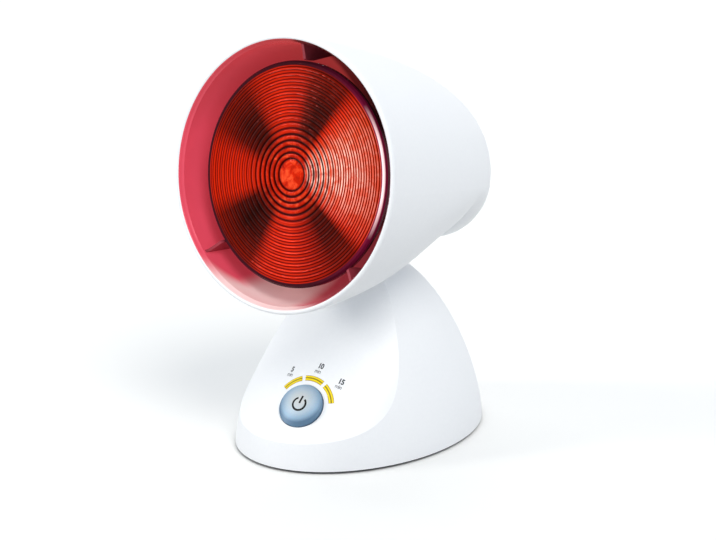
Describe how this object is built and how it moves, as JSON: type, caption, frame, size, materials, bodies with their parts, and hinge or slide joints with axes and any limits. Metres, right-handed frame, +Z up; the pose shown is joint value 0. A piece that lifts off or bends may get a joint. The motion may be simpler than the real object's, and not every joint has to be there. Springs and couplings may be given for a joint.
{
  "type": "infrared heat therapy lamp",
  "caption": "Table-top infrared heat lamp: a bullet-shaped head with a red pressed-glass lamp tilts in clicks on a dome base with a push button and timer windows.",
  "frame": {"origin": "centre of the base, on the table", "axes": "+X to the right seen from the front, -Y to the front where the lamp shines, +Z up"},
  "size_m": [0.1476, 0.1643, 0.2329],
  "materials": {
    "white_shell": "smooth moulded, satin gloss",
    "shade_liner": "smooth moulded, red-tinted gloss",
    "red_glass": "pressed ruby glass, glossy",
    "silvered_glass": "blown glass, silvered inside",
    "lamp_cap": "spun, bright",
    "filament": "drawn wire on a glass stem",
    "ceramic": "glazed ceramic, opaque",
    "brass": "pressed sheet, bright",
    "steel": "zinc plated",
    "washer_plastic": "natural acetal",
    "post_plastic": "moulded, satin gloss",
    "bottom_plastic": "fine spark-eroded grain",
    "foot_rubber": "moulded, matt",
    "window_plastic": "clear-tinted, flush polished",
    "board": "epoxy laminate with solder mask",
    "black_plastic": "moulded",
    "led_resin": "cast resin",
    "relay_plastic": "moulded",
    "capacitor_can": "sleeved can",
    "terminal_plastic": "moulded",
    "gland_plastic": "moulded, satin",
    "button_metallic": "pearl blue-silver lacquer"
  },
  "bodies": {
    "base": {"base_shell": "white_shell", "pivot_post": "post_plastic", "post_screws": "steel", "bottom_plate": "bottom_plastic", "rubber_feet": "foot_rubber", "bottom_screws": "steel", "timer_window_5min": "window_plastic", "timer_window_10min": "window_plastic", "timer_window_15min": "window_plastic", "control_board": "board", "board_screws": "steel", "push_switch": "black_plastic", "timer_leds": "led_resin", "power_board": "board", "power_board_screws": "steel", "relay": "relay_plastic", "capacitor": "capacitor_can", "terminal_block": "terminal_plastic", "cord_gland": "gland_plastic", "gland_nut": "gland_plastic"},
    "head": {"head_shell": "white_shell", "rear_cover": "white_shell", "shade_liner": "shade_liner", "bulb_lens": "red_glass", "bulb_reflector": "silvered_glass", "bulb_cap": "lamp_cap", "bulb_filament": "filament", "lampholder": "ceramic", "holder_thread_shell": "brass", "holder_contact": "brass", "holder_rivets": "steel", "tilt_bracket": "steel", "bracket_screws": "steel", "tilt_pin": "steel", "pin_clip": "steel", "click_washers": "washer_plastic"},
    "button": {"power_button": "button_metallic"}
  },
  "joints": [
    {"name": "head_tilt", "type": "hinge", "parent": "base", "child": "head", "pos_m": [0, 0.013, 0.118], "axis": [-1, 0, 0], "range_deg": [-6, 18]},
    {"name": "button_press", "type": "slide", "parent": "base", "child": "button", "axis": [-0.1323, 0.7214, -0.6798], "range_m": [0, 0.001], "stiffness_N_per_m": 1600}
  ]
}
